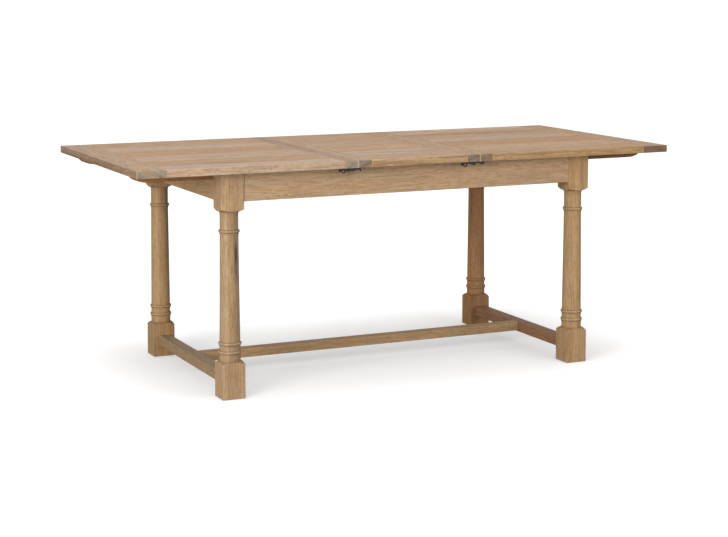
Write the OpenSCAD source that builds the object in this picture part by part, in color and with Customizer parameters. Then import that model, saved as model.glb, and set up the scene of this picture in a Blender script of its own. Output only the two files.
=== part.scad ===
// Extendable dining table, shown open with its centre leaf in place.
// X runs along the table, the front is towards -Y, and Z = 0 is the floor.
// The origin is on the floor, under the middle of the centre leaf.

/* [Top] */
// Length of each sliding half of the top
half_l = 750; // [650:5:900]
// Length of the drop-in centre leaf
leaf_l = 450; // [350:5:500]
// Width of the top, from front to back
top_w = 880; // [780:5:1060]
// Thickness of the top boards
top_t = 24; // [20:1:30]
// Height of the top surface above the floor
table_h = 760; // [640:5:920]
// Width of the boards across the two ends of the table
end_board_w = 100; // [70:1:130]
// Width of the boards across each side of the leaf's two joints
joint_board_w = 50; // [40:1:70]

/* [Legs] */
// Side of the square block at the top of a leg, and of the plinth
block_w = 78; // [70:0.1:95]
// Distance from the end of the closed top to the leg's outer face
leg_end_inset = 69; // [50:1:120]
// Distance from the long edge of the top to the leg's outer face
leg_side_inset = 48.5; // [45:0.5:80]
// Depth of the top block below the top boards
top_block_h = 128; // [110:1:160]
// Height of the plinth at the turned part
plinth_h = 122; // [95:1:150]
// Drop of the turned shoulders at the corners of the blocks
shoulder_drop = 11; // [5:1:15]
// Diameter of the neck under the top block
neck_d = 60; // [50:1:66]
// Diameter of the shaft above the lower rings
shaft_d = 67; // [60:1:69]
// Diameter of the neck ring
neck_ring_d = 69.5; // [66:0.5:74]
// Diameter of the two lower rings
lower_ring_d = 76; // [70:1:77]
// Height of one turned ring
ring_h = 11; // [8:1:15]

/* [Frame] */
// Height of the aprons
apron_h = 95; // [90:1:110]
// Thickness of the aprons
apron_t = 22; // [18:1:28]
// Step from the leg's face back to the apron's face
apron_step = 3; // [1:0.5:8]
// Width of the floor stretchers
stretcher_w = 44; // [36:1:52]
// Height of the two side stretchers
side_stretcher_h = 36; // [28:1:44]
// Height of the centre stretcher
centre_stretcher_h = 31; // [24:1:40]
// Height of the top of the stretchers above the floor
stretcher_top = 78; // [60:1:90]

/* [Slides] */
// Width of a runner
runner_w = 40; // [30:1:44]
// Depth of a runner
runner_h = 28; // [22:0.1:34]
// Length of the rounded nose of a runner
nose_l = 50; // [30:1:70]
// How far each half still slides outwards, to free the leaf
over_travel = 40; // [20:5:60]
// Clearance between sliding pieces
slide_gap = 0.5; // [0.3:0.1:1]

/* [Catches] */
// Thickness of the metal of the catches
catch_t = 3.5; // [2.5:0.1:4.5]
// Outer diameter of the finger ring
finger_ring_d = 15; // [14:1:18]
// Distance from the joint to a catch's pivot
pivot_in = 14.5; // [14:0.5:22]

/* [Hidden] */
$fn = 64;
eps = 1;             // how far a cutter runs past a face
half_w = top_w / 2;
top_z = table_h - top_t;
joint_x = leaf_l / 2;

// Board widths, as shares of the top's width, from the front
left_shares = [0.11, 0.18, 0.17, 0.19, 0.165, 0.185];
right_shares = [0.14, 0.17, 0.19, 0.15, 0.18, 0.17];
leaf_shares = [0.16, 0.18, 0.15, 0.19, 0.17, 0.15];
function plank_edge(shares, i) = i == 0 ? -half_w : plank_edge(shares, i - 1) + shares[i - 1] * top_w;

tongue_t = 8;        // thickness of the tongue on a plank's end
tongue_l = 10;       // how far it goes into the end board
tongue_stop = 12;    // length left solid at each end of a groove

leg_x = half_l - leg_end_inset - block_w / 2;
leg_y = half_w - leg_side_inset - block_w / 2;
leg_in_x = leg_x - block_w / 2;
leg_in_y = leg_y - block_w / 2;
glide_d = 34;
glide_t = 3;
glide_proud = 1.5;
leg_bottom = glide_proud;
frame_top = top_z - slide_gap;
block_z = top_z - top_block_h;
neck_ring_z = block_z - 64;
upper_ring_z = plinth_h + 57.5;
lower_ring_z = plinth_h + 29;
foot_ring_d = shaft_d + 1;
shoulder_curve = 1.4;   // 1 is a straight cone, more is rounder

apron_y = leg_y + block_w / 2 - apron_step;     // outer face of a long apron
apron_x = leg_x + block_w / 2 - apron_step;     // outer face of an end apron
apron_in_y = apron_y - apron_t;
apron_in_x = apron_x - apron_t;
apron_z = top_z - apron_h;
tenon_l = 20;
tenon_cheek = 5;     // shoulder left on each cheek of an apron's tenon
tenon_edge = 10;     // shoulder under an apron's tenon

runner_y = leg_in_y - 3.5;                      // outer face of a runner
runner_in_y = runner_y - runner_w;
runner_z = top_z - runner_h;
runner_in = 10;      // from the joint to the runner's inner end
runner_out = 27;     // from the table's end to the runner's nose
runner_l = half_l - runner_in - runner_out;
guide_w = 30;
guide_top = top_z - 3;
guide_z = runner_z - 18;
slide_tongue_t = 9;
slide_tongue_w = 8;
slide_groove_t = slide_tongue_t + 2 * slide_gap;
slide_tongue_z = runner_z + runner_h / 2;
slide_tongue_end = apron_in_x - over_travel - slide_gap;
cross_w = 34;
cross_h = 36;
cross_x = half_l * 0.4;
notch_bottom = runner_z - slide_gap;
tenon_top = notch_bottom - 8;
corner_z = apron_z + tenon_edge;
corner_h = guide_z - corner_z - 2;
corner_leg = 70;     // how far a corner block runs along each apron past the leg
bolt_r = 4;
bolt_l = 60;
bolt_in = 34;        // how much of a corner bolt is inside the leg
nut_w = 13;
nut_t = 6;

screw_r = 2;
screw_head_r = 4;
screw_head_h = 3;
screw_bite = 16;     // how far a screw goes into the board above it
runner_sink = 12;    // depth of the pocket for a runner screw's head
cross_sink = 14;
screw_pocket_r = 5;
runner_screws = 4;
nose_face = 5;       // upright part of a runner's end, above its rounded nose
runner_rebate = 4;   // shadow rebate along a runner's upper outer edge

peg_r = 5;
peg_out = 12;
peg_in = 22;
peg_gap = 0.5;
pegs = 3;
peg_z = top_z + top_t / 2;
peg_pitch = top_w / 2 - 120;

catch_y = -half_w + 15;
plate_t = 2.5;
catch_gap = 0.4;
lever_top = top_z - plate_t - catch_gap;
lever_w = 9;
pivot_r = 3;
pivot_fit = 0.05;
pivot_head_r = 6;
pivot_head_t = 4;
hub_r = 8;
ring_hole_r = finger_ring_d / 2 - catch_t;
left_ring_x = -33;   // from each lever's pivot to its ring and its body
left_body_x = -9;
right_ring_x = -64;
right_body_x = -26;
left_arm = 31;       // reach of the left lever's arm under the leaf
body_l = 24;
body_drop = 10;
body_face = 8;       // flat foot of a lever's body
tail_drop = 9;
tail_w = 5;
thumb_out = 16;      // from the ring's centre to the tip of the thumb tab
plate_l = 28;
plate_w = 20;
keeper_l = 26;
plate_screw_l = 12;
plate_screw_r = 1.5;
plate_head_r = 3;

// ---- helpers ----

module box(x, y, z) {
    translate([x[0], y[0], z[0]]) cube([x[1] - x[0], y[1] - y[0], z[1] - z[0]]);
}

// A wood screw pointing up, with its head's face at z = 0.
module screw(length) {
    tip = screw_r * 2;
    cylinder(h = screw_head_h, r1 = screw_head_r, r2 = screw_r);
    translate([0, 0, screw_head_h]) cylinder(h = length - screw_head_h - tip, r = screw_r);
    translate([0, 0, length - tip]) cylinder(h = tip, r1 = screw_r, r2 = 0.4);
}

// A small countersunk screw, its head flush with the face of a catch's plate.
module plate_screw() {
    cylinder(h = plate_t, r1 = plate_head_r, r2 = plate_screw_r);
    translate([0, 0, plate_t]) cylinder(h = plate_screw_l - plate_t, r = plate_screw_r);
}

// Places its children on one side: right is as drawn, left is the mirror image.
module on_side(side) {
    if (side > 0) children();
    else mirror([1, 0, 0]) children();
}

// ---- legs ----

// Rounds the end of a square block as a lathe does: full height at the shaft, lower at the corners.
module turned_end(height) {
    corner_r = block_w / sqrt(2) + eps;
    flat_r = neck_d / 2 + 3;
    rotate_extrude() polygon(concat(
        [[0, 0], [corner_r, 0]],
        [for (t = [1 : -0.1 : 0])
            [flat_r + (corner_r - flat_r) * t, height - shoulder_drop * pow(t, shoulder_curve)]],
        [[0, height]]));
}

module ring(diameter) {
    rotate_extrude() translate([diameter / 2 - ring_h / 2, 0]) circle(d = ring_h);
    cylinder(h = ring_h, d = diameter - ring_h, center = true);
}

module turning() {
    upper = neck_ring_z - ring_h / 2;
    translate([0, 0, upper]) cylinder(h = block_z - upper + eps, d = neck_d);
    translate([0, 0, neck_ring_z]) ring(neck_ring_d);
    translate([0, 0, upper_ring_z]) cylinder(h = upper - upper_ring_z + eps, d1 = shaft_d, d2 = neck_d);
    translate([0, 0, upper_ring_z]) ring(lower_ring_d);
    translate([0, 0, lower_ring_z]) cylinder(h = upper_ring_z - lower_ring_z, d = shaft_d);
    translate([0, 0, lower_ring_z]) ring(lower_ring_d);
    translate([0, 0, plinth_h - eps]) cylinder(h = lower_ring_z - plinth_h + eps, d = foot_ring_d);
}

module square_bar(low, high) {
    translate([-block_w / 2, -block_w / 2, low]) cube([block_w, block_w, high - low]);
}

// A leg at the origin, with its mortises on its +X and +Y faces.
module leg_blank() {
    difference() {
        union() {
            turning();
            intersection() {
                square_bar(leg_bottom, plinth_h + eps);
                translate([0, 0, leg_bottom]) turned_end(plinth_h - leg_bottom);
            }
            intersection() {
                square_bar(block_z - eps, frame_top);
                translate([0, 0, frame_top]) mirror([0, 0, 1]) turned_end(frame_top - block_z);
            }
        }
        translate([0, 0, leg_bottom - eps]) cylinder(h = glide_t - glide_proud + eps, d = glide_d);
    }
}

module leg(sx, sy) {
    color("burlywood") difference() {
        translate([sx * leg_x, sy * leg_y, 0]) leg_blank();
        apron_tenons();
        end_apron_tenons();
        stretcher_tenons();
        corner_bolt(sx, sy) cylinder(h = bolt_l, r = bolt_r);
    }
}

module foot_glides() {
    color("dimgray") for (sx = [-1, 1], sy = [-1, 1])
        translate([sx * leg_x, sy * leg_y, 0]) cylinder(h = glide_t, d = glide_d);
}

// ---- aprons and stretchers ----

module apron_tenons() {
    for (sy = [-1, 1]) mirror([0, sy > 0 ? 0 : 1, 0])
        box([-leg_in_x - tenon_l, leg_in_x + tenon_l],
            [apron_in_y + tenon_cheek, apron_y - tenon_cheek], [apron_z + tenon_edge, tenon_top]);
}

module end_apron_tenons() {
    for (sx = [-1, 1]) on_side(sx)
        box([apron_in_x + tenon_cheek, apron_x - tenon_cheek],
            [-leg_in_y - tenon_l, leg_in_y + tenon_l], [apron_z + tenon_edge, tenon_top]);
}

module long_apron(sy) {
    color("tan") mirror([0, sy > 0 ? 0 : 1, 0]) {
        box([-leg_in_x, leg_in_x], [apron_in_y, apron_y], [apron_z, frame_top]);
        box([-leg_in_x - tenon_l, leg_in_x + tenon_l],
            [apron_in_y + tenon_cheek, apron_y - tenon_cheek], [apron_z + tenon_edge, tenon_top]);
    }
}

// An end apron is notched at both ends, beside the legs, where the runners pass.
module end_apron(side) {
    color("tan") on_side(side) {
        difference() {
            box([apron_in_x, apron_x], [-leg_in_y, leg_in_y], [apron_z, frame_top]);
            for (m = [0, 1]) mirror([0, m, 0])
                box([apron_in_x - eps, apron_x + eps],
                    [runner_in_y - slide_gap, leg_in_y + eps], [notch_bottom, frame_top + eps]);
        }
        box([apron_in_x + tenon_cheek, apron_x - tenon_cheek],
            [-leg_in_y - tenon_l, leg_in_y + tenon_l], [apron_z + tenon_edge, tenon_top]);
    }
}

module stretcher_tenons() {
    edge = 8;
    for (sx = [-1, 1]) on_side(sx)
        box([leg_x - stretcher_w / 2 + edge, leg_x + stretcher_w / 2 - edge],
            [-leg_in_y - tenon_l, leg_in_y + tenon_l],
            [stretcher_top - side_stretcher_h + edge, stretcher_top - edge]);
}

module centre_tenon() {
    edge = 8;
    reach = leg_x - stretcher_w / 2 + tenon_l;
    box([-reach, reach], [-stretcher_w / 2 + edge, stretcher_w / 2 - edge],
        [stretcher_top - centre_stretcher_h + edge, stretcher_top - edge]);
}

module side_stretcher(side) {
    color("burlywood") difference() {
        union() {
            on_side(side) box([leg_x - stretcher_w / 2, leg_x + stretcher_w / 2], [-leg_in_y, leg_in_y],
                [stretcher_top - side_stretcher_h, stretcher_top]);
            intersection() {
                stretcher_tenons();
                on_side(side) box([0, half_l], [-half_w, half_w], [0, table_h]);
            }
        }
        centre_tenon();
    }
}

module centre_stretcher() {
    color("burlywood") {
        box([-leg_x + stretcher_w / 2, leg_x - stretcher_w / 2], [-stretcher_w / 2, stretcher_w / 2],
            [stretcher_top - centre_stretcher_h, stretcher_top]);
        centre_tenon();
    }
}

// ---- slide guides and corner bracing ----

module guide_rail(sy) {
    color("peru") mirror([0, sy > 0 ? 0 : 1, 0]) difference() {
        box([-apron_in_x, apron_in_x], [runner_in_y - slide_gap - guide_w, runner_in_y - slide_gap],
            [guide_z, guide_top]);
        box([-apron_in_x - eps, apron_in_x + eps],
            [runner_in_y - slide_tongue_w - slide_gap, runner_in_y],
            [slide_tongue_z - slide_groove_t / 2, slide_tongue_z + slide_groove_t / 2]);
        at_cross_screws() cylinder(h = cross_h - cross_sink + screw_bite, r = screw_r);
    }
}

module at_cross_screws() {
    screw_y = runner_in_y - slide_gap - guide_w * 0.6;
    for (sx = [-1, 1], sy = [-1, 1])
        translate([sx * cross_x, sy * screw_y, guide_z - cross_h + cross_sink]) children();
}

module cross_rail(side) {
    color("peru") difference() {
        on_side(side) box([cross_x - cross_w / 2, cross_x + cross_w / 2], [-apron_in_y, apron_in_y],
            [guide_z - cross_h, guide_z]);
        at_cross_screws() {
            screw(cross_h - cross_sink + screw_bite);
            translate([0, 0, -cross_sink - eps]) cylinder(h = cross_sink + eps, r = screw_pocket_r);
        }
    }
}

module frame_screws() {
    color("silver") at_cross_screws() screw(cross_h - cross_sink + screw_bite);
}

// A corner bolt's axis runs from inside the leg, out through its inner corner and the block.
module corner_bolt(sx, sy) {
    inside = bolt_in / sqrt(2);
    translate([sx * (leg_in_x + inside), sy * (leg_in_y + inside), corner_z + corner_h / 2])
        rotate([0, 0, atan2(-sy, -sx)]) rotate([0, 90, 0]) children();
}

module corner_block(sx, sy) {
    color("peru") difference() {
        mirror([sx > 0 ? 0 : 1, 0, 0]) mirror([0, sy > 0 ? 0 : 1, 0])
            translate([0, 0, corner_z]) linear_extrude(corner_h) polygon([
                [leg_in_x, leg_in_y], [apron_in_x, leg_in_y], [apron_in_x, leg_in_y - corner_leg],
                [leg_in_x - corner_leg, apron_in_y], [leg_in_x, apron_in_y]]);
        corner_bolt(sx, sy) cylinder(h = bolt_l + eps, r = bolt_r);
    }
}

// Thickness of a corner block along its bolt, from the leg's corner to the block's long face.
function block_depth() =
    let (run_x = apron_in_x - leg_in_x + corner_leg, run_y = apron_in_y - leg_in_y + corner_leg)
    (corner_leg * run_y - (apron_in_y - leg_in_y) * run_x) / (run_x + run_y) * sqrt(2);

module corner_bolts() {
    color("silver") for (sx = [-1, 1], sy = [-1, 1]) corner_bolt(sx, sy) {
        cylinder(h = bolt_l, r = bolt_r);
        translate([0, 0, bolt_in + block_depth()]) difference() {
            cylinder(h = nut_t, d = nut_w * 2 / sqrt(3), $fn = 6);
            translate([0, 0, -eps]) cylinder(h = nut_t + 2 * eps, r = bolt_r);
        }
    }
}

// ---- boards of the top ----

// Places a half, drawn with its joint at X = 0 and its outer end at X = half_l.
module on_half(side) {
    on_side(side) translate([joint_x, 0, 0]) children();
}

function screw_x(i) =
    let (first = runner_in + 60, last = runner_in + runner_l - nose_l - 40)
    first + i * (last - first) / (runner_screws - 1);

module at_runner_screws() {
    for (i = [0 : runner_screws - 1], sy = [-1, 1])
        translate([screw_x(i), sy * (runner_y - runner_w / 2), runner_z + runner_sink]) children();
}

module runner_screw_holes() {
    at_runner_screws() cylinder(h = runner_h - runner_sink + screw_bite, r = screw_r);
}

module at_plate_screws() {
    for (dx = [-1, 1]) translate([pivot_in + dx * plate_l * 0.36, catch_y + plate_w * 0.25, top_z - plate_t])
        children();
}

// The tongue that runs the whole width of a panel, at one end of its planks.
module panel_tongue(x_low, x_high) {
    box([x_low, x_high], [-half_w + tongue_stop, half_w - tongue_stop],
        [peg_z - tongue_t / 2, peg_z + tongue_t / 2]);
}

// A plank from x_low to x_high, with a tongue at each end.
module plank(shares, i, x_low, x_high) {
    y_low = plank_edge(shares, i);
    y_high = plank_edge(shares, i + 1);
    box([x_low, x_high], [y_low, y_high], [top_z, table_h]);
    intersection() {
        panel_tongue(x_low - tongue_l, x_high + tongue_l);
        box([x_low - tongue_l, x_high + tongue_l], [y_low, y_high], [top_z, table_h]);
    }
}

module half_plank(side, shares, i) {
    color(i % 2 == 0 ? "tan" : "burlywood") on_half(side) difference() {
        plank(shares, i, joint_board_w, half_l - end_board_w);
        runner_screw_holes();
    }
}

module outer_board(side) {
    color("rosybrown") on_half(side) difference() {
        box([half_l - end_board_w, half_l], [-half_w, half_w], [top_z, table_h]);
        panel_tongue(half_l - end_board_w - eps, half_l - end_board_w + tongue_l);
        runner_screw_holes();
    }
}

module at_pegs() {
    for (i = [0 : pegs - 1])
        translate([0, -peg_pitch + i * 2 * peg_pitch / (pegs - 1), peg_z]) rotate([0, -90, 0]) children();
}

module joint_board(side) {
    color("rosybrown") on_half(side) difference() {
        box([0, joint_board_w], [-half_w, half_w], [top_z, table_h]);
        panel_tongue(joint_board_w - tongue_l, joint_board_w + eps);
        at_pegs() translate([0, 0, -peg_in]) cylinder(h = peg_in + eps, r = peg_r);
        runner_screw_holes();
        at_plate_screws() plate_screw();
    }
}

module half_pegs(side) {
    color("burlywood") on_half(side) at_pegs() {
        translate([0, 0, -peg_in]) cylinder(h = peg_in + peg_out - 3, r = peg_r);
        translate([0, 0, peg_out - 3]) cylinder(h = 3, r1 = peg_r, r2 = peg_r - 1.5);
    }
}

// ---- runners ----

// Side view of a runner, with its nose rounded up towards the outer end.
module runner_profile() {
    polygon(concat(
        [[0, runner_h], [0, 0]],
        [for (a = [-90 : 7.5 : 0])
            [runner_l - nose_l + nose_l * cos(a), (runner_h - nose_face) * (1 + sin(a))]],
        [[runner_l, runner_h]]));
}

module runner(side, sy) {
    color("sienna") on_half(side) mirror([0, sy > 0 ? 0 : 1, 0]) {
        difference() {
            translate([runner_in, runner_y, runner_z]) rotate([90, 0, 0])
                linear_extrude(runner_w) runner_profile();
            box([runner_in - eps, runner_in + runner_l + eps],
                [runner_y - runner_rebate, runner_y + eps], [top_z - runner_rebate, top_z + eps]);
            at_runner_screws() {
                cylinder(h = screw_head_h, r1 = screw_head_r, r2 = screw_r);
                cylinder(h = runner_h, r = screw_r);
                translate([0, 0, -runner_sink - eps]) cylinder(h = runner_sink + eps, r = screw_pocket_r);
            }
        }
        box([runner_in, slide_tongue_end - joint_x], [runner_in_y - slide_tongue_w, runner_in_y],
            [slide_tongue_z - slide_tongue_t / 2, slide_tongue_z + slide_tongue_t / 2]);
    }
}

module top_screws(side) {
    color("silver") on_half(side) {
        at_runner_screws() screw(runner_h - runner_sink + screw_bite);
        at_plate_screws() plate_screw();
    }
}

// ---- centre leaf ----

module leaf_plank(i) {
    color(i % 2 == 0 ? "burlywood" : "tan")
        plank(leaf_shares, i, -joint_x + joint_board_w, joint_x - joint_board_w);
}

// Slots, open below, that the pegs of a half sit in while the leaf is lifted out.
module peg_slots() {
    slot_r = peg_r + peg_gap;
    for (i = [0 : pegs - 1]) translate([joint_x, -peg_pitch + i * 2 * peg_pitch / (pegs - 1), 0]) {
        translate([-peg_out - 1, 0, peg_z]) rotate([0, 90, 0]) cylinder(h = peg_out + 1 + eps, r = slot_r);
        box([-peg_out - 1, eps], [-slot_r, slot_r], [top_z - eps, peg_z]);
    }
}

module at_keeper_screws() {
    for (sx = [-1, 1]) translate([sx * (joint_x - keeper_l / 2 - 2), catch_y, top_z - plate_t]) children();
}

module leaf_board(side) {
    color("rosybrown") difference() {
        on_side(side) difference() {
            box([joint_x - joint_board_w, joint_x], [-half_w, half_w], [top_z, table_h]);
            panel_tongue(joint_x - joint_board_w - eps, joint_x - joint_board_w + tongue_l);
            peg_slots();
        }
        at_keeper_screws() plate_screw();
    }
}

// Wear plates under the leaf, which the arms of the catches bear up against.
module leaf_keepers() {
    color("dimgray") difference() {
        for (sx = [-1, 1]) on_side(sx) box([joint_x - keeper_l - 2, joint_x - 2],
            [catch_y - lever_w / 2 - 2, catch_y + lever_w / 2 + 2], [top_z - plate_t, top_z]);
        at_keeper_screws() plate_screw();
    }
}

module leaf_screws() {
    color("silver") at_keeper_screws() plate_screw();
}

// ---- catches ----

module catch_plate(side) {
    color("dimgray") on_half(side) {
        difference() {
            box([pivot_in - plate_l / 2, pivot_in + plate_l / 2],
                [catch_y - plate_w / 2, catch_y + plate_w / 2], [top_z - plate_t, top_z]);
            at_plate_screws() plate_screw();
        }
        translate([pivot_in, catch_y, lever_top - catch_t - catch_gap - pivot_head_t]) {
            cylinder(h = pivot_head_t, r = pivot_head_r);
            cylinder(h = pivot_head_t + catch_t + 2 * catch_gap, r = pivot_r);
        }
    }
}

// Side view of a lever's body, deepest towards the joint.
module body_profile() {
    polygon([[-body_l, 0], [0, 0], [0, 2 - body_drop], [-2, -body_drop], [-body_face, -body_drop],
        [-body_l, -catch_t]]);
}

// Side view of a slanting end, lowest at x = 0.
module slant_profile() {
    polygon([[-tail_drop, 0], [tail_w - tail_drop, 0], [0, -tail_drop], [-tail_w * 0.7, -tail_drop]]);
}

module side_plate(x, width) {
    translate([x, width / 2, 0]) rotate([90, 0, 0]) linear_extrude(width) children();
}

// A lever with its pivot at the origin, its arm along +X, and its finger ring and thumb tab on -X.
module lever(ring_x, body_x, arm) {
    thumb_x = ring_x - thumb_out;
    difference() {
        union() {
            translate([0, 0, -catch_t]) cylinder(h = catch_t, r = hub_r);
            box([thumb_x + tail_drop - tail_w, max(arm - tail_drop + tail_w, 0)],
                [-lever_w / 2, lever_w / 2], [-catch_t, 0]);
            side_plate(ring_x, catch_t) translate([0, -finger_ring_d / 2]) circle(d = finger_ring_d);
            side_plate(body_x, lever_w - 2) body_profile();
            side_plate(thumb_x, lever_w) mirror([1, 0]) slant_profile();
            if (arm > 0) side_plate(arm, lever_w - 2) slant_profile();
        }
        side_plate(ring_x, 2 * lever_w) translate([0, -finger_ring_d / 2]) circle(r = ring_hole_r);
        translate([0, 0, -catch_t - eps]) cylinder(h = catch_t + 2 * eps, r = pivot_r + pivot_fit);
    }
}

module left_lever() {
    color("black") translate([-joint_x - pivot_in, catch_y, lever_top])
        lever(left_ring_x, left_body_x, left_arm);
}

module right_lever() {
    color("black") translate([joint_x + pivot_in, catch_y, lever_top])
        lever(right_ring_x, right_body_x, 0);
}

leg(-1, -1);  // leg_front_left
leg(1, -1);  // leg_front_right
leg(-1, 1);  // leg_back_left
leg(1, 1);  // leg_back_right
long_apron(-1);  // front_apron
long_apron(1);  // back_apron
end_apron(-1);  // left_apron
end_apron(1);  // right_apron
side_stretcher(-1);  // left_stretcher
side_stretcher(1);  // right_stretcher
centre_stretcher();
guide_rail(-1);  // front_guide_rail
guide_rail(1);  // back_guide_rail
cross_rail(-1);  // left_cross_rail
cross_rail(1);  // right_cross_rail
corner_block(-1, -1);  // corner_block_front_left
corner_block(1, -1);  // corner_block_front_right
corner_block(-1, 1);  // corner_block_back_left
corner_block(1, 1);  // corner_block_back_right
corner_bolts();
frame_screws();
foot_glides();
outer_board(-1);  // left_outer_board
joint_board(-1);  // left_joint_board
half_plank(-1, left_shares, 0);  // left_plank_1
half_plank(-1, left_shares, 1);  // left_plank_2
half_plank(-1, left_shares, 2);  // left_plank_3
half_plank(-1, left_shares, 3);  // left_plank_4
half_plank(-1, left_shares, 4);  // left_plank_5
half_plank(-1, left_shares, 5);  // left_plank_6
runner(-1, -1);  // left_front_runner
runner(-1, 1);  // left_back_runner
top_screws(-1);  // left_top_screws
half_pegs(-1);  // left_pegs
catch_plate(-1);  // left_catch_plate
outer_board(1);  // right_outer_board
joint_board(1);  // right_joint_board
half_plank(1, right_shares, 0);  // right_plank_1
half_plank(1, right_shares, 1);  // right_plank_2
half_plank(1, right_shares, 2);  // right_plank_3
half_plank(1, right_shares, 3);  // right_plank_4
half_plank(1, right_shares, 4);  // right_plank_5
half_plank(1, right_shares, 5);  // right_plank_6
runner(1, -1);  // right_front_runner
runner(1, 1);  // right_back_runner
top_screws(1);  // right_top_screws
half_pegs(1);  // right_pegs
catch_plate(1);  // right_catch_plate
leaf_board(-1);  // leaf_left_board
leaf_board(1);  // leaf_right_board
leaf_plank(0);  // leaf_plank_1
leaf_plank(1);  // leaf_plank_2
leaf_plank(2);  // leaf_plank_3
leaf_plank(3);  // leaf_plank_4
leaf_plank(4);  // leaf_plank_5
leaf_plank(5);  // leaf_plank_6
leaf_keepers();
leaf_screws();
left_lever();  // left_catch_lever
right_lever();  // right_catch_lever
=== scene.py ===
import math
import random
import bmesh
import bpy
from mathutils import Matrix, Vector


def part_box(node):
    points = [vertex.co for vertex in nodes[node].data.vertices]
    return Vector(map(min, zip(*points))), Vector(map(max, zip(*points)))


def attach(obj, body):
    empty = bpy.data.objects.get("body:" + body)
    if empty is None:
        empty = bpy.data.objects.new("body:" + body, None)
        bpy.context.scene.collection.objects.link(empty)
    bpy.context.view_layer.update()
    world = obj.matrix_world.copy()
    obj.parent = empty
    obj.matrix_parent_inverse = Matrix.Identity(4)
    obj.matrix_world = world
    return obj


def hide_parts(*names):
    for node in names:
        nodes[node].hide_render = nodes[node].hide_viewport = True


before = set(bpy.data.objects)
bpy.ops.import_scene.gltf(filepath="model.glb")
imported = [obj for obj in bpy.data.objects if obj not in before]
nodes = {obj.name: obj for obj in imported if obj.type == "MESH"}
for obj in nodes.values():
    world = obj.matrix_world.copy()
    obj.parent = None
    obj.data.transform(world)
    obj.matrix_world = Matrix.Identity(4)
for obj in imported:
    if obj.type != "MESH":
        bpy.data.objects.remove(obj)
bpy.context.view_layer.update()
print("frame loaded:", len(nodes), "nodes")


cameraSet = {
    "place": (-2.591, -5.576, 1.379),   # metres from the table's middle, on the floor
    "turn": 24.911,                     # degrees to the right of straight at the front
    "tilt": -5.9,                       # degrees, down
    "lens": 86.65,
    "rise": -0.1628,                    # keeps the legs upright in the frame
    "sight": 900,                       # metres
}


def addCamera():
    turn, tilt = math.radians(cameraSet["turn"]), math.radians(cameraSet["tilt"])
    aim = Vector((math.sin(turn) * math.cos(tilt), math.cos(turn) * math.cos(tilt), math.sin(tilt)))
    data = bpy.data.cameras.new("camera")
    data.lens = cameraSet["lens"]
    data.shift_y = cameraSet["rise"]
    data.clip_end = cameraSet["sight"]
    camera = bpy.data.objects.new("camera", data)
    camera.location = cameraSet["place"]
    camera.rotation_mode = "QUATERNION"
    camera.rotation_quaternion = aim.to_track_quat("-Z", "Y")
    bpy.context.collection.objects.link(camera)
    bpy.context.scene.camera = camera


lightSet = {
    "sky": 0.58,
    "lamps": {
        "overhead": {"power": 34, "place": (-0.4, -0.9, 3.1), "size": 3.2},
        "key": {"power": 200, "place": (-4.8, -3.4, 1.5), "size": 2.6},
        "fill": {"power": 70, "place": (3.2, -5.2, 1.8), "size": 3.0},
    },
    "aim": (0, 0, 0.5),             # the lamps face this place
    "floorHalf": 300,               # metres, half the floor's side
    "floorSeen": 0.80,              # how pale the floor looks
    "floorGlow": (0.36, 0.62),      # near the table and far off: lifts the floor to white
    "floorTable": (0.60, 0.33, 0),  # half size of the patch under the legs
    "floorFade": (0.0, 0.72),       # metres out from that patch
    "floorBounce": 0.26,            # how much light it throws back on the table
}


def addArea(name, power, place, size):
    data = bpy.data.lights.new(name, "AREA")
    data.energy = power
    data.size = size
    lamp = bpy.data.objects.new(name, data)
    lamp.location = place
    lamp.rotation_mode = "QUATERNION"
    toTable = Vector(lightSet["aim"]) - Vector(place)
    lamp.rotation_quaternion = toTable.to_track_quat("-Z", "Y")
    bpy.context.collection.objects.link(lamp)


def addLights():
    world = bpy.data.worlds.new("studio")
    world.use_nodes = True
    tree = world.node_tree
    sky = tree.nodes["Background"]
    sky.inputs["Color"].default_value = (1, 1, 1, 1)
    sky.inputs["Strength"].default_value = lightSet["sky"]
    backdrop = tree.nodes.new("ShaderNodeBackground")
    backdrop.inputs["Color"].default_value = (1, 1, 1, 1)
    rays = tree.nodes.new("ShaderNodeLightPath")
    choose = tree.nodes.new("ShaderNodeMixShader")
    tree.links.new(rays.outputs["Is Camera Ray"], choose.inputs["Fac"])
    tree.links.new(sky.outputs[0], choose.inputs[1])
    tree.links.new(backdrop.outputs[0], choose.inputs[2])
    tree.links.new(choose.outputs[0], tree.nodes["World Output"].inputs["Surface"])
    bpy.context.scene.world = world
    for name, lamp in lightSet["lamps"].items():
        addArea(name, **lamp)
    bpy.context.scene.view_settings.view_transform = "Standard"


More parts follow.
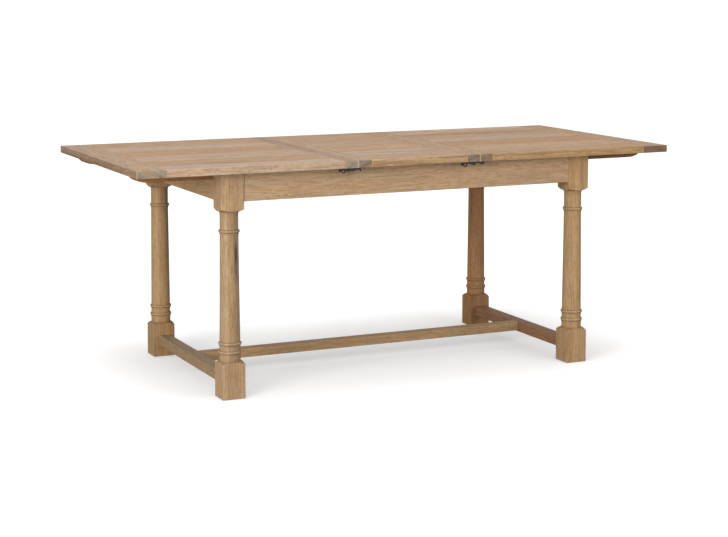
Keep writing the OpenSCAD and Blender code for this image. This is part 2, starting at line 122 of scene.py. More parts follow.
# The floor is white to the eye, but throws back less light than white paper would.
# From below it's clear.
def floorMaterial():
    paper = bpy.data.materials.new("floorPaper")
    paper.use_nodes = True
    tree = paper.node_tree
    tree.nodes.clear()
    seen = tree.nodes.new("ShaderNodeBsdfDiffuse")
    seen.inputs["Color"].default_value = (lightSet["floorSeen"],) * 3 + (1,)
    glow = tree.nodes.new("ShaderNodeEmission")
    where = tree.nodes.new("ShaderNodeNewGeometry").outputs["Position"]
    out = vectorCalc(tree, "SUBTRACT", vectorCalc(tree, "ABSOLUTE", where), lightSet["floorTable"])
    away = vectorCalc(tree, "LENGTH", vectorCalc(tree, "MAXIMUM", out, (0, 0, 0)))
    strength = ramp(tree, away, *lightSet["floorFade"], *lightSet["floorGlow"])
    tree.links.new(strength, glow.inputs["Strength"])
    bright = tree.nodes.new("ShaderNodeAddShader")
    bounce = tree.nodes.new("ShaderNodeBsdfDiffuse")
    bounce.inputs["Color"].default_value = (lightSet["floorBounce"],) * 3 + (1,)
    rays = tree.nodes.new("ShaderNodeLightPath")
    choose = tree.nodes.new("ShaderNodeMixShader")
    surface = tree.nodes.new("ShaderNodeOutputMaterial").inputs["Surface"]
    tree.links.new(seen.outputs[0], bright.inputs[0])
    tree.links.new(glow.outputs[0], bright.inputs[1])
    tree.links.new(rays.outputs["Is Camera Ray"], choose.inputs["Fac"])
    tree.links.new(bounce.outputs[0], choose.inputs[1])
    tree.links.new(bright.outputs[0], choose.inputs[2])
    clear = tree.nodes.new("ShaderNodeMixShader")
    under = tree.nodes.new("ShaderNodeNewGeometry").outputs["Backfacing"]
    tree.links.new(under, clear.inputs["Fac"])
    tree.links.new(choose.outputs[0], clear.inputs[1])
    tree.links.new(tree.nodes.new("ShaderNodeBsdfTransparent").outputs[0], clear.inputs[2])
    tree.links.new(clear.outputs[0], surface)
    return paper


def addFloor():
    mesh = bpy.data.meshes.new("floor")
    half = lightSet["floorHalf"]
    corners = [(-half, -half, 0), (half, -half, 0), (half, half, 0), (-half, half, 0)]
    mesh.from_pydata(corners, [], [(0, 1, 2, 3)])
    floor = bpy.data.objects.new("floor", mesh)
    bpy.context.collection.objects.link(floor)
    mesh.materials.append(floorMaterial())


# A colour from its 0 to 255 red, green and blue, as a paint chart gives it.
def paint(red, green, blue):
    linear = [((v / 255 + 0.055) / 1.055) ** 2.4 for v in (red, green, blue)]
    return (*linear, 1)


def feed(tree, socket, value):
    if isinstance(value, bpy.types.NodeSocket):
        tree.links.new(value, socket)
    elif value is not None:
        socket.default_value = value


def calc(tree, operation, a, b=None, c=None):
    node = tree.nodes.new("ShaderNodeMath")
    node.operation = operation
    for socket, value in zip(node.inputs, (a, b, c)):
        feed(tree, socket, value)
    return node.outputs[0]


def vectorCalc(tree, operation, a, b=None):
    node = tree.nodes.new("ShaderNodeVectorMath")
    node.operation = operation
    feed(tree, node.inputs[0], a)
    feed(tree, node.inputs[1], b)
    return node.outputs["Value" if operation == "LENGTH" else "Vector"]


def ramp(tree, value, low, high, outLow=0.0, outHigh=1.0):
    node = tree.nodes.new("ShaderNodeMapRange")
    node.interpolation_type = "SMOOTHSTEP"
    for socket, v in zip(node.inputs, (value, low, high, outLow, outHigh)):
        feed(tree, socket, v)
    return node.outputs[0]


def noise(tree, place, stretch, detail=2.0, roughness=0.5):
    node = tree.nodes.new("ShaderNodeTexNoise")
    node.inputs["Scale"].default_value = 1
    node.inputs["Detail"].default_value = detail
    node.inputs["Roughness"].default_value = roughness
    feed(tree, node.inputs["Vector"], vectorCalc(tree, "MULTIPLY", place, stretch))
    return node.outputs["Fac"]


def noiseAlong(tree, value, detail=2.0):
    node = tree.nodes.new("ShaderNodeTexNoise")
    node.noise_dimensions = "1D"
    node.inputs["Scale"].default_value = 1
    node.inputs["Detail"].default_value = detail
    feed(tree, node.inputs["W"], value)
    return node.outputs["Fac"]


def blendColour(tree, factor, a, b, way="MIX"):
    node = tree.nodes.new("ShaderNodeMix")
    node.data_type = "RGBA"
    node.blend_type = way
    feed(tree, node.inputs["Factor"], factor)
    feed(tree, node.inputs[6], a)
    feed(tree, node.inputs[7], b)
    return node.outputs[2]


def splitAxes(tree, vector):
    node = tree.nodes.new("ShaderNodeSeparateXYZ")
    tree.links.new(vector, node.inputs[0])
    return node.outputs


def newGroup(name, inputs, outputs):
    tree = bpy.data.node_groups.new(name, "ShaderNodeTree")
    for label, kind, value in inputs:
        socket = tree.interface.new_socket(label, in_out="INPUT", socket_type="NodeSocket" + kind)
        if value is not None:
            socket.default_value = value
    for label, kind in outputs:
        tree.interface.new_socket(label, in_out="OUTPUT", socket_type="NodeSocket" + kind)
    return tree, tree.nodes.new("NodeGroupInput").outputs, tree.nodes.new("NodeGroupOutput").inputs


def useGroup(tree, group):
    node = tree.nodes.new("ShaderNodeGroup")
    node.node_tree = group
    return node


addCamera()
addLights()
addFloor()
print("stage ready")


# Noises are waves per metre: along the grain, then across it both ways.
oakGrain = {
    "sway": (1.1, 5, 5),        # slow bend of the rings
    "swayReach": 0.05,          # metres
    "wobble": (14, 60, 60),     # small waves in each ring
    "wobbleReach": 0.6,         # of a ring
    "early": 0.55,              # share of each ring that is porous
    "earlyShade": 0.34,
    "bands": 75,                # broad colour bands that follow the rings
    "streaks": (0.8, 42, 42),
    "bandShare": 0.45,          # of the tone, against the streaks
    "paler": (0.5, 0.66),       # tone at which wood turns from mid to light
    "darker": (0.5, 0.34),
    "hue": (0.6, 24, 24),       # where it turns orange
    "fine": (15, 250, 250),
    "dashes": (55, 330, 330),
    "pores": (70, 1500, 1500),
    "poreShade": 0.5,
    "poreLate": 0.2,            # pores outside the porous part of a ring
    "patches": (9, 14, 14),     # where flecks gather
    "flecks": (230, 34, 34),
    "fleckShade": 0.35,
    "fibre": (30, 700, 700),
    "faceTurn": (0.6, 0.9),     # how squarely a face is cut to take a side's or an end's tint
    "roughness": 0.46,
    "poreRough": 0.2,
    "fibreRough": 0.16,
}


# Place has the grain along X and the tree's heart along the line Y = Z = 0, in metres.
def buildOak():
    tree, given, made = newGroup("solidOak", [
        ("Place", "Vector", None),
        ("Facing", "Vector", None),
        ("Light", "Color", paint(208, 182, 156)),
        ("Mid", "Color", paint(188, 160, 135)),
        ("Dark", "Color", paint(158, 126, 102)),
        ("Warm", "Color", paint(205, 163, 120)),
        ("End Tint", "Color", (0.74, 0.75, 0.73, 1)),
        ("Side Tint", "Color", (1, 1, 1, 1)),
        ("Rim", "Float", 0.0),
        ("Ring Width", "Float", 0.0035),
        ("Streaks", "Float", 1.0),
        ("Rings", "Float", 1.0),
        ("Flecks", "Float", 1.0),
        ("Fine", "Float", 1.0),
    ], [("Color", "Color"), ("Roughness", "Float"), ("Height", "Float")])
    where = given["Place"]
    reach = oakGrain["swayReach"]
    sway = calc(tree, "MULTIPLY_ADD", noise(tree, where, oakGrain["sway"], 2.5), reach, -reach / 2)
    across = vectorCalc(tree, "LENGTH", vectorCalc(tree, "MULTIPLY", where, (0, 1, 1)))
    radius = calc(tree, "ADD", across, sway)
    count = calc(tree, "DIVIDE", radius, given["Ring Width"])
    wobble = noise(tree, where, oakGrain["wobble"])
    phase = calc(tree, "FRACT", calc(tree, "MULTIPLY_ADD", wobble, oakGrain["wobbleReach"], count))
    early = ramp(tree, phase, 0.0, oakGrain["early"], 1.0, 0.0)

    bands = noiseAlong(tree, calc(tree, "MULTIPLY", radius, oakGrain["bands"]), 3)
    streaks = noise(tree, where, oakGrain["streaks"], 4, 0.6)
    share = oakGrain["bandShare"]
    tone = calc(tree, "MULTIPLY_ADD", bands, share, calc(tree, "MULTIPLY", streaks, 1 - share))
    tone = calc(tree, "MULTIPLY_ADD", calc(tree, "SUBTRACT", tone, 0.5), given["Streaks"], 0.5)
    colour = blendColour(tree, ramp(tree, tone, *oakGrain["paler"]), given["Mid"], given["Light"])
    colour = blendColour(tree, ramp(tree, tone, *oakGrain["darker"]), colour, given["Dark"])
    hue = noise(tree, where, oakGrain["hue"])
    colour = blendColour(tree, ramp(tree, hue, 0.46, 0.62, 0, 0.8), colour, given["Warm"])

    fine = noise(tree, where, oakGrain["fine"], 2, 0.6)
    darker = calc(tree, "MULTIPLY", ramp(tree, fine, 0.52, 0.36, 0, 0.5), given["Fine"])
    paler = calc(tree, "MULTIPLY", ramp(tree, fine, 0.50, 0.66, 0, 0.5), given["Fine"])
    colour = blendColour(tree, darker, colour, given["Dark"])
    colour = blendColour(tree, paler, colour, given["Light"])
    dashes = ramp(tree, noise(tree, where, oakGrain["dashes"], 1), 0.56, 0.64, 0, 0.6)
    colour = blendColour(tree, calc(tree, "MULTIPLY", dashes, given["Fine"]), colour, given["Dark"])

    ringDepth = calc(tree, "MULTIPLY", given["Rings"], oakGrain["earlyShade"])
    colour = blendColour(tree, calc(tree, "MULTIPLY", early, ringDepth), colour, given["Dark"])
    late = oakGrain["poreLate"]
    pores = ramp(tree, noise(tree, where, oakGrain["pores"], 1), 0.60, 0.72)
    pores = calc(tree, "MULTIPLY", pores, calc(tree, "MULTIPLY_ADD", early, 1 - late, late))
    poreDepth = calc(tree, "MULTIPLY", pores, oakGrain["poreShade"])
    colour = blendColour(tree, poreDepth, colour, given["Dark"])

    patches = ramp(tree, noise(tree, where, oakGrain["patches"], 1), 0.45, 0.62)
    flecks = ramp(tree, noise(tree, where, oakGrain["flecks"]), 0.60, 0.68)
    flecks = calc(tree, "MULTIPLY", calc(tree, "MULTIPLY", flecks, patches), given["Flecks"])
    fleckDepth = calc(tree, "MULTIPLY", flecks, oakGrain["fleckShade"])
    colour = blendColour(tree, fleckDepth, colour, given["Light"])

    facing = splitAxes(tree, given["Facing"])
    cutSide = ramp(tree, calc(tree, "ABSOLUTE", facing[1]), *oakGrain["faceTurn"])
    side = blendColour(tree, 1.0, colour, given["Side Tint"], "MULTIPLY")
    colour = blendColour(tree, cutSide, colour, side)
    cutEnd = ramp(tree, calc(tree, "ABSOLUTE", facing[0]), *oakGrain["faceTurn"])
    end = blendColour(tree, 1.0, colour, given["End Tint"], "MULTIPLY")
    end = blendColour(tree, given["Rim"], end, given["Light"])
    feed(tree, made["Color"], blendColour(tree, cutEnd, colour, end))

    fibre = noise(tree, where, oakGrain["fibre"], 3)
    gloss = calc(tree, "MULTIPLY_ADD", pores, oakGrain["poreRough"], oakGrain["roughness"])
    gloss = calc(tree, "MULTIPLY_ADD", fibre, oakGrain["fibreRough"], gloss)
    feed(tree, made["Roughness"], gloss)
    height = calc(tree, "MULTIPLY_ADD", pores, -0.8, calc(tree, "MULTIPLY", early, -0.25))
    feed(tree, made["Height"], calc(tree, "MULTIPLY_ADD", fibre, 0.35, height))
    return tree


staveJump = (3.0, 0.12, 0.12)   # metres: how far apart in the tree two staves can come from


# Splits a glued-up leg into upright staves, each from its own part of the tree and with its own tone.
def buildStaves():
    tree, given, made = newGroup("gluedStaves", [
        ("Place", "Vector", None),
        ("Width", "Float", 0.026),
        ("Seed", "Float", 0.0),
    ], [("Place", "Vector"), ("Tone", "Float"), ("Joint", "Float")])
    across = splitAxes(tree, given["Place"])[2]
    count = calc(tree, "ADD", calc(tree, "DIVIDE", across, given["Width"]), 0.5)
    stave = calc(tree, "FLOOR", count)
    pick = tree.nodes.new("ShaderNodeTexWhiteNoise")
    pick.noise_dimensions = "1D"
    feed(tree, pick.inputs["W"], calc(tree, "ADD", stave, given["Seed"]))
    jump = vectorCalc(tree, "MULTIPLY", pick.outputs["Color"], staveJump)
    feed(tree, made["Place"], vectorCalc(tree, "ADD", given["Place"], jump))
    feed(tree, made["Tone"], pick.outputs["Value"])
    edge = calc(tree, "ABSOLUTE", calc(tree, "SUBTRACT", calc(tree, "FRACT", count), 0.5))
    feed(tree, made["Joint"], ramp(tree, edge, 0.485, 0.498))
    return tree


# A long dark stain in the wood, strongest at Centre and fading out over Size.
def buildStain():
    tree, given, made = newGroup("darkStain", [
        ("Place", "Vector", None),
        ("Centre", "Vector", None),
        ("Size", "Vector", None),
    ], [("Amount", "Float")])
    away = vectorCalc(tree, "SUBTRACT", given["Place"], given["Centre"])
    away = vectorCalc(tree, "DIVIDE", away, given["Size"])
    spread = ramp(tree, vectorCalc(tree, "LENGTH", away), 1.0, 0.25)
    broken = ramp(tree, noise(tree, given["Place"], (16, 210, 210), 3), 0.30, 0.52)
    feed(tree, made["Amount"], calc(tree, "MULTIPLY", spread, broken))
    return tree


oakGroup = buildOak()
stavesGroup = buildStaves()
stainGroup = buildStain()
print("wood groups ready")

# Turns that lay each grain direction along X.
grainTurn = {"x": (0, 0, 0), "y": (0, 0, math.radians(-90)), "z": (0, math.radians(90), 0)}

oakLooks = {
    "top": {"Light": paint(212, 187, 160), "Mid": paint(186, 158, 131), "Dark": paint(152, 119, 93),
            "Warm": paint(205, 161, 117), "Side Tint": (0.95, 0.91, 0.76, 1), "Flecks": 0.6},
    "frame": {"Light": paint(207, 177, 139), "Mid": paint(185, 153, 115), "Dark": paint(147, 112, 78),
              "Warm": paint(195, 157, 111), "Fine": 0.75, "Streaks": 0.6, "Flecks": 0.3},
    # The runners' oak is darker than the frame's, partly painted shade from the top above them.
    "runner": {"Light": paint(194, 146, 92), "Mid": paint(170, 121, 72), "Dark": paint(122, 81, 46),
               "Warm": paint(186, 130, 74)},
    # brown is the frame oak made darker and redder as painted shade, for the right stretcher near the
    # floor.
    "brown": {"Light": paint(197, 154, 116), "Mid": paint(172, 128, 94), "Dark": paint(132, 92, 65),
              "Warm": paint(184, 133, 92), "Fine": 0.75, "Streaks": 0.6, "Flecks": 0.3},
    "inner": {"Light": paint(190, 158, 122), "Mid": paint(168, 134, 98), "Dark": paint(136, 102, 72),
              "Warm": paint(176, 136, 94)},
}


woodFinish = {
    "specular": 0.35,
    "bump": 0.35,
    "bumpDistance": 0.0006,
    "warmth": 0.2,                  # saturation for each unit of warmth
    "slide": (2, 9),                # metres along the grain, so that no two pieces match
    "rimFade": (0.0026, 0.0012),    # metres in from a board's edge
    "rimDepth": 0.8,
    "jointDepth": 0.55,
    "staveTones": (0.20, 0.90),     # spread and least tone of a leg's staves
    "stainColour": paint(72, 48, 38),
}


def turnToGrain(tree, vector, axis, kind="POINT"):
    node = tree.nodes.new("ShaderNodeMapping")
    node.vector_type = kind
    node.inputs["Rotation"].default_value = grainTurn[axis]
    tree.links.new(vector, node.inputs["Vector"])
    return node.outputs["Vector"]


# Pale side edges on an end-grain face: the middle and half width of the board, across its grain.
def rimMask(tree, whole, middle, half):
    away = calc(tree, "ABSOLUTE", calc(tree, "SUBTRACT", splitAxes(tree, whole)[1], middle))
    outer, inner = woodFinish["rimFade"]
    return ramp(tree, away, half - outer, half - inner, 0, woodFinish["rimDepth"])


# Shaft and foot shift the tone of a leg's turned part and of its plinth. Shaft is partly the turned
# wood's own darker tone and partly painted shade; foot is painted shade, standing in for the dimmer light
# near the floor.
def legTone(tree, whole, staveTone, tone, shaft, foot):
    spread, least = woodFinish["staveTones"]
    height = splitAxes(tree, whole)[0]
    abovePlinth = ramp(tree, height, *legSet["plinthBlend"])
    turnedPart = calc(tree, "MULTIPLY", abovePlinth, ramp(tree, height, *legSet["blockBlend"]))
    lift = calc(tree, "MULTIPLY_ADD", staveTone, spread, least + tone)
    lift = calc(tree, "MULTIPLY_ADD", turnedPart, shaft, lift)
    return calc(tree, "MULTIPLY_ADD", calc(tree, "SUBTRACT", 1, abovePlinth), foot, lift)


def stained(tree, whole, colour, centre, size, depth):
    mark = useGroup(tree, stainGroup)
    mark.inputs["Centre"].default_value = centre
    mark.inputs["Size"].default_value = size
    tree.links.new(whole, mark.inputs["Place"])
    amount = calc(tree, "MULTIPLY", mark.outputs["Amount"], depth)
    return blendColour(tree, amount, colour, woodFinish["stainColour"])


# Warmth above 0 makes a piece oranger, below 0 greyer. Heart is where the tree's middle runs past
# the piece. Levels are the oak group's own inputs, with _ for a space.
def oakMaterial(name, look, axis, seed, tone=0.0, warmth=0.0, heart=(0, 0), staves=0.0,
                origin=(0, 0, 0), rim=None, stain=None, shaft=0.0, foot=0.0, **levels):
    chance = random.Random(seed)
    material = bpy.data.materials.new(name)
    material.use_nodes = True
    tree = material.node_tree
    shader = tree.nodes["Principled BSDF"]
    coords = tree.nodes.new("ShaderNodeTexCoord")
    centred = vectorCalc(tree, "SUBTRACT", coords.outputs["Object"], origin)
    whole = turnToGrain(tree, centred, axis)
    where = whole
    if staves:
        stave = useGroup(tree, stavesGroup)
        stave.inputs["Width"].default_value = staves
        stave.inputs["Seed"].default_value = seed
        tree.links.new(whole, stave.inputs["Place"])
        where = stave.outputs["Place"]
    where = vectorCalc(tree, "SUBTRACT", where, (-chance.uniform(*woodFinish["slide"]), *heart))
    oak = useGroup(tree, oakGroup)
    for label, value in {**oakLooks[look], **levels}.items():
        oak.inputs[label.replace("_", " ")].default_value = value
    if rim:
        tree.links.new(rimMask(tree, whole, *rim), oak.inputs["Rim"])
    tree.links.new(where, oak.inputs["Place"])
    tree.links.new(turnToGrain(tree, coords.outputs["Normal"], axis, "NORMAL"), oak.inputs["Facing"])
    bright = tree.nodes.new("ShaderNodeHueSaturation")
    bright.inputs["Value"].default_value = 1 + tone
    bright.inputs["Saturation"].default_value = 1 + woodFinish["warmth"] * warmth
    tree.links.new(oak.outputs["Color"], bright.inputs["Color"])
    colour = bright.outputs["Color"]
    if staves:
        lift = legTone(tree, whole, stave.outputs["Tone"], tone, shaft, foot)
        tree.links.new(lift, bright.inputs["Value"])
        joint = calc(tree, "MULTIPLY", stave.outputs["Joint"], woodFinish["jointDepth"])
        colour = blendColour(tree, joint, colour, oakLooks[look]["Dark"])
    if stain:
        colour = stained(tree, whole, colour, **stain)
    tree.links.new(colour, shader.inputs["Base Color"])
    tree.links.new(oak.outputs["Roughness"], shader.inputs["Roughness"])
    shader.inputs["Specular IOR Level"].default_value = woodFinish["specular"]
    bump = tree.nodes.new("ShaderNodeBump")
    bump.inputs["Strength"].default_value = woodFinish["bump"]
    bump.inputs["Distance"].default_value = woodFinish["bumpDistance"]
    tree.links.new(oak.outputs["Height"], bump.inputs["Height"])
    tree.links.new(bump.outputs["Normal"], shader.inputs["Normal"])
    return material


def setMaterial(piece, material):
    piece.data.materials.clear()
    piece.data.materials.append(material)


easeSet = {
    "weld": 0.00002,    # metres
    "flat": 1,          # degrees: faces this close to level become one
    "corner": 32,       # degrees: sharper edges than this are eased
    "steps": 2,
}


# Joins the split corners of a CAD piece and eases its edges.
def easeEdges(piece, width):
    weld = piece.modifiers.new("weld", "WELD")
    weld.merge_threshold = easeSet["weld"]
    flat = piece.modifiers.new("flat", "DECIMATE")
    flat.decimate_type = "DISSOLVE"
    flat.angle_limit = math.radians(easeSet["flat"])
    bevel = piece.modifiers.new("eased", "BEVEL")
    bevel.width = width
    bevel.segments = easeSet["steps"]
    bevel.limit_method = "ANGLE"
    bevel.angle_limit = math.radians(easeSet["corner"])
    bevel.harden_normals = True


# Each plank is a tone and a warmth; each board across them adds the tint of its cut ends.
topSet = {
    "left": [(0.04, -0.9), (-0.04, 0.8), (0.03, -0.3), (-0.05, 0.7), (0.04, -0.5), (-0.01, 0.5)],
    "right": [(-0.02, 0.7), (0.02, 0.1), (-0.06, 1.0), (0.02, -0.2), (-0.06, 0.7), (0.03, 0.1)],
    "leaf": [(-0.02, 0.3), (-0.07, -0.35), (0.01, 0.7), (-0.06, -0.2), (0.0, 0.8), (-0.04, 0.2)],
    "boards": {
        "left_outer_board": (-0.09, 0.1, (0.75, 0.89, 1.0, 1)),
        "left_joint_board": (-0.16, 0.2, (0.86, 1.04, 1.16, 1)),
        "leaf_left_board": (-0.05, 0.1, (0.62, 0.63, 0.64, 1)),
        "leaf_right_board": (-0.10, 0.2, (0.52, 0.57, 0.62, 1)),
        "right_joint_board": (-0.06, 0.2, (0.57, 0.53, 0.46, 1)),
        "right_outer_board": (-0.09, 0.3, (0.48, 0.44, 0.39, 1)),
    },
    "boardSide": (0.76, 0.73, 0.67, 1),
    "plankHeart": (0.05, (0.03, 0.16)),     # metres aside at most, and below the underside
    "boardHeart": (0.03, (0.04, 0.12)),
    "ease": 0.0008,
}


def topHeart(chance, middle, underside, reach):
    aside, below = reach
    return middle + chance.uniform(-aside, aside), underside - chance.uniform(*below)


def topBoards():
    seed = 11
    for half in ("left", "right", "leaf"):
        for i, (tone, warmth) in enumerate(topSet[half]):
            name = f"{half}_plank_{i + 1}"
            low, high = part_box(name)
            seed += 1
            heart = topHeart(random.Random(seed), (low.y + high.y) / 2, low.z, topSet["plankHeart"])
            setMaterial(nodes[name], oakMaterial(f"{name}Oak", "top", "x", seed, tone, warmth, heart))
            easeEdges(nodes[name], topSet["ease"])
    for name, (tone, warmth, tint) in topSet["boards"].items():
        low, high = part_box(name)
        seed += 1
        middle = -(low.x + high.x) / 2
        heart = topHeart(random.Random(seed), middle, low.z, topSet["boardHeart"])
        material = oakMaterial(f"{name}Oak", "top", "y", seed, tone, warmth, heart, End_Tint=tint,
                               Side_Tint=topSet["boardSide"], rim=(middle, (high.x - low.x) / 2))
        setMaterial(nodes[name], material)
        easeEdges(nodes[name], topSet["ease"])


topBoards()
print("top boards done")


frameSet = {
    # grain direction, kind of oak, easing of the edges, tone and warmth
    "pieces": {
        "front_apron": ("x", "frame", 0.0015, 0.07, -0.2),
        "back_apron": ("x", "frame", 0.0015, 0.0, 0.0),
        # The left apron's raised tone is painted light, lifting the shade under the top's overhang.
        "left_apron": ("y", "frame", 0.0015, 0.16, 0.3),
        "right_apron": ("y", "frame", 0.0015, 0.0, 0.0),
        # The left and right stretchers' low tones are painted shade near the floor.
        "left_stretcher": ("y", "frame", 0.003, -0.27, -0.2),
        "right_stretcher": ("y", "brown", 0.003, -0.22, 0.1),
        "centre_stretcher": ("x", "frame", 0.003, -0.06, 0.3),
        "front_guide_rail": ("x", "inner", 0.001, 0.0, 0.0),
        "back_guide_rail": ("x", "inner", 0.001, 0.0, 0.0),
        "left_cross_rail": ("y", "inner", 0.001, 0.0, 0.0),
        "right_cross_rail": ("y", "inner", 0.001, 0.0, 0.0),
        "left_front_runner": ("x", "runner", 0.002, 0.0, 0.0),
        "left_back_runner": ("x", "runner", 0.002, -0.1, 0.2),
        # The right runners' low tone is painted shade from the right end of the top above them.
        "right_front_runner": ("x", "runner", 0.002, -0.3, 0.3),
        "right_back_runner": ("x", "runner", 0.002, -0.3, 0.3),
        "left_pegs": ("x", "inner", 0.0004, 0.0, 0.0),
        "right_pegs": ("x", "inner", 0.0004, 0.0, 0.0),
    },
    "heart": (0.03, (-0.12, -0.06)),        # metres aside at most, and up from the middle
    "cornerHeart": (0.3, 0.5),
    "cornerEase": 0.001,
}


def frameParts():
    seed = 60
    aside, above = frameSet["heart"]
    for name, (axis, look, ease, tone, warmth) in frameSet["pieces"].items():
        low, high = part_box(name)
        seed += 1
        chance = random.Random(seed)
        middle = (low + high) / 2
        side = middle.y if axis == "x" else -middle.x
        heart = (side + chance.uniform(-aside, aside), middle.z + chance.uniform(*above))
        setMaterial(nodes[name], oakMaterial(f"{name}Oak", look, axis, seed, tone, warmth, heart))
        easeEdges(nodes[name], ease)
    for corner in ("front_left", "front_right", "back_left", "back_right"):
        name = f"corner_block_{corner}"
        seed += 1
        oak = oakMaterial(f"{name}Oak", "inner", "z", seed, heart=frameSet["cornerHeart"])
        setMaterial(nodes[name], oak)
        easeEdges(nodes[name], frameSet["cornerEase"])


frameParts()
print("frame done")


legSet = {
    "ease": 0.0028,            # rounding of the blocks' upright edges
    "shoulder": 0.011,         # drop of a turned shoulder at a block's corners
    "curve": 1.4,              # 1 is a straight cone, more is rounder
    "blockEnd": 0.608,         # underside of the top block
    "plinthEnd": 0.122,        # top of the plinth
    "neck": 0.060,             # diameters
    "shaft": 0.067,
    "foot": 0.068,
    "neckRing": (0.544, 0.0695),
    "upperRing": (0.1795, 0.076),
    "lowerRing": (0.151, 0.076),
    "ringHeight": 0.011,
    "collar": (0.005, 0.0012),     # height and depth of the small step under each ring
    "cut": (0.0018, 0.001),        # height and depth of the fine cut above each ring
    "chamfer": (0.0006, 0.0012),   # height and depth of the bevel at a leg's two ends
    "flat": 0.003,                 # level part of a shoulder, out from the neck
    "columns": 120,
    "rows": 60,
    "rowGap": 0.0002,              # between the rows on either side of a sharp turn
    "sharp": 34,                   # degrees: edges sharper than this aren't smoothed
    "heart": (0.05, 0.09),
    "stave": 0.030,
    "plinthBlend": (0.115, 0.125),      # heights over which a tone changes
    "blockBlend": (0.618, 0.606),
    # Shaft is partly the turned wood's darker tone and partly painted shade; foot is painted shade on the
    # plinth near the floor.
    "looks": {
        "leg_front_left": {
            "tone": 0.04, "warmth": -0.1, "shaft": -0.15, "foot": -0.08,
            "stain": {"centre": (0.459, -0.030, -0.013), "size": (0.10, 0.009, 0.009), "depth": 0.95},
        },
        "leg_front_right": {"tone": -0.01, "warmth": 0.4, "shaft": -0.04, "foot": -0.05},
        "leg_back_left": {"tone": -0.09, "warmth": 0.3, "foot": -0.08},
        "leg_back_right": {
            "tone": -0.03, "warmth": 0.4, "foot": -0.14,
            # This redder palette is painted shade and warm reflected light on the back right leg.
            "Light": paint(202, 164, 125), "Mid": paint(180, 140, 102),
            "Dark": paint(140, 100, 68), "Warm": paint(194, 142, 94),
        },
    },
}
legRings = ("neckRing", "upperRing", "lowerRing")


def ringRadius(z, base, ring):
    middle, diameter = ring
    half = legSet["ringHeight"] / 2
    collarHeight, collarDepth = legSet["collar"]
    cutHeight, cutDepth = legSet["cut"]
    away = abs(z - middle)
    if away < half:
        return diameter / 2 - half + math.sqrt(half * half - away * away)
    if z < middle and away < half + collarHeight:
        return base + collarDepth
    if z > middle and away < half + cutHeight:
        return base - cutDepth
    return base


def turnedRadius(z):
    upper = legSet["upperRing"][0]
    rise = (z - upper) / (legSet["neckRing"][0] - upper)
    if z > legSet["neckRing"][0]:
        base = legSet["neck"] / 2
    elif z > upper:
        base = (legSet["shaft"] + (legSet["neck"] - legSet["shaft"]) * rise) / 2
    elif z > legSet["lowerRing"][0]:
        base = legSet["shaft"] / 2
    else:
        base = legSet["foot"] / 2
    rings = [ringRadius(z, base, legSet[ring]) for ring in legRings]
    return max(rings) if max(rings) > base else min(rings)


# Distance from the centre to an eased square's edge in one direction.
def squareRadius(angle, half, ease):
    fromFace = (angle + math.pi / 4) % (math.pi / 2) - math.pi / 4
    if abs(half * math.tan(fromFace)) <= half - ease:
        return half / math.cos(fromFace)
    toCorner = (half - ease) * math.sqrt(2)
    aside = math.pi / 4 - abs(fromFace)
    return toCorner * math.cos(aside) + math.sqrt(max(ease * ease - (toCorner * math.sin(aside)) ** 2, 0))


# How far a lathe-turned shoulder lets a block reach, at a height measured back from its face.
def shoulderRadius(depth, half):
    corner = half * math.sqrt(2) + 0.001        # just past the eased corner
    flat = legSet["neck"] / 2 + legSet["flat"]
    return flat + (corner - flat) * (max(depth, 0) / legSet["shoulder"]) ** (1 / legSet["curve"])


# Rows of the mesh: close together where the outline turns sharply.
def legHeights(low, high):
    half = legSet["ringHeight"] / 2
    collar = legSet["collar"][0]
    cut = legSet["cut"][0]
    bevel = legSet["chamfer"][0]
    gap = legSet["rowGap"]
    fine = [low + bevel, low + gap * 10, high - bevel, high - gap * 10]
    for ring in legRings:
        middle = legSet[ring][0]
        fine += [middle + half * math.sin(math.radians(a)) for a in range(-90, 91, 12)]
        fine += [middle + half + d for d in (gap, cut - gap, cut + gap)]
        fine += [middle - half - d for d in (gap, collar / 2, collar - gap, collar + gap * 1.5)]
    drop = legSet["shoulder"]
    fine += [legSet["blockEnd"] + drop * t / 10 for t in range(11)]
    fine += [legSet["plinthEnd"] - drop * t / 10 for t in range(11)]
    coarse = [low + (high - low) * t / legSet["rows"] for t in range(legSet["rows"] + 1)]
    return sorted(set(round(z, 5) for z in fine + coarse if low <= z <= high))


def legRadius(z, angle, half, atEnd):
    if legSet["plinthEnd"] < z < legSet["blockEnd"]:
        return turnedRadius(z)
    depth = max(z - legSet["blockEnd"], legSet["plinthEnd"] - z)
    pull = legSet["chamfer"][1] if atEnd else 0.0
    return min(squareRadius(angle, half - pull, legSet["ease"]), shoulderRadius(depth, half))


def legMesh(name, middle, half, low, high):
    mesh = bpy.data.meshes.new(name)
    shape = bmesh.new()
    count = legSet["columns"]
    rows = []
    for z in legHeights(low, high):
        atEnd = min(z - low, high - z) < legSet["rowGap"]
        row = []
        for k in range(count):
            angle = 2 * math.pi * k / count
            reach = legRadius(z, angle, half, atEnd)
            x, y = middle.x + reach * math.cos(angle), middle.y + reach * math.sin(angle)
            row.append(shape.verts.new((x, y, z)))
        rows.append(row)
    for lower, upper in zip(rows, rows[1:]):
        for k in range(count):
            n = (k + 1) % count
            shape.faces.new((lower[k], lower[n], upper[n], upper[k]))
    shape.faces.new(list(reversed(rows[0])))
    shape.faces.new(rows[-1])
    shape.to_mesh(mesh)
    shape.free()
    mesh.shade_smooth()
    mesh.set_sharp_from_angle(angle=math.radians(legSet["sharp"]))
    return mesh


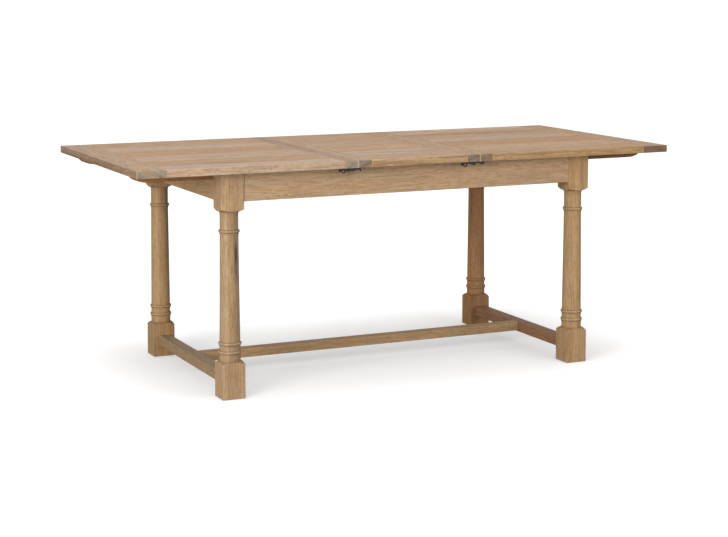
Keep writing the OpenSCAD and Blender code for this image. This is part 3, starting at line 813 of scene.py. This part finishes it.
def buildLeg(name, seed):
    low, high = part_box(name)
    middle = (low + high) / 2
    mesh = legMesh(f"{name}_turned", middle, (high.x - low.x) / 2, low.z, high.z)
    piece = bpy.data.objects.new(f"{name}_turned", mesh)
    bpy.context.collection.objects.link(piece)
    oak = oakMaterial(f"{name}Oak", "frame", "z", seed, heart=legSet["heart"], staves=legSet["stave"],
                      origin=(middle.x, middle.y, 0), **legSet["looks"][name])
    setMaterial(piece, oak)
    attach(piece, "base")
    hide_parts(name)


for order, leg in enumerate(("leg_front_left", "leg_front_right", "leg_back_left", "leg_back_right")):
    buildLeg(leg, 101 + order * 7)
print("legs done")


metalSet = {
    "blackSteel": {
        "colour": (0.042, 0.040, 0.038, 1), "roughness": 0.34, "metallic": 0.6, "ease": 0.0004,
        "pieces": ("left_catch_lever", "right_catch_lever", "left_catch_plate", "right_catch_plate",
                   "leaf_keepers"),
    },
    "zincSteel": {
        "colour": (0.55, 0.55, 0.53, 1), "roughness": 0.28, "metallic": 1.0, "ease": None,
        "pieces": ("corner_bolts", "frame_screws", "left_top_screws", "right_top_screws", "leaf_screws"),
    },
    "glidePlastic": {
        "colour": (0.05, 0.045, 0.04, 1), "roughness": 0.55, "metallic": 0.0, "ease": None,
        "pieces": ("foot_glides",),
    },
}
mottleSet = {"waves": 600, "paler": 1.6, "share": 0.5, "rough": 0.25}


def mottledMaterial(name, colour, roughness, metallic):
    material = bpy.data.materials.new(name)
    material.use_nodes = True
    tree = material.node_tree
    shader = tree.nodes["Principled BSDF"]
    coords = tree.nodes.new("ShaderNodeTexCoord")
    mottle = noise(tree, coords.outputs["Object"], (mottleSet["waves"],) * 3, 3)
    paler = (*[min(1, level * mottleSet["paler"]) for level in colour[:3]], 1)
    shade = blendColour(tree, ramp(tree, mottle, 0.35, 0.7, 0, mottleSet["share"]), colour, paler)
    tree.links.new(shade, shader.inputs["Base Color"])
    rough = calc(tree, "MULTIPLY_ADD", mottle, mottleSet["rough"], roughness)
    tree.links.new(rough, shader.inputs["Roughness"])
    shader.inputs["Metallic"].default_value = metallic
    return material


def hardware():
    for finish, look in metalSet.items():
        material = mottledMaterial(finish, look["colour"], look["roughness"], look["metallic"])
        for name in look["pieces"]:
            setMaterial(nodes[name], material)
            if look["ease"]:
                easeEdges(nodes[name], look["ease"])


hardware()
print("hardware done")
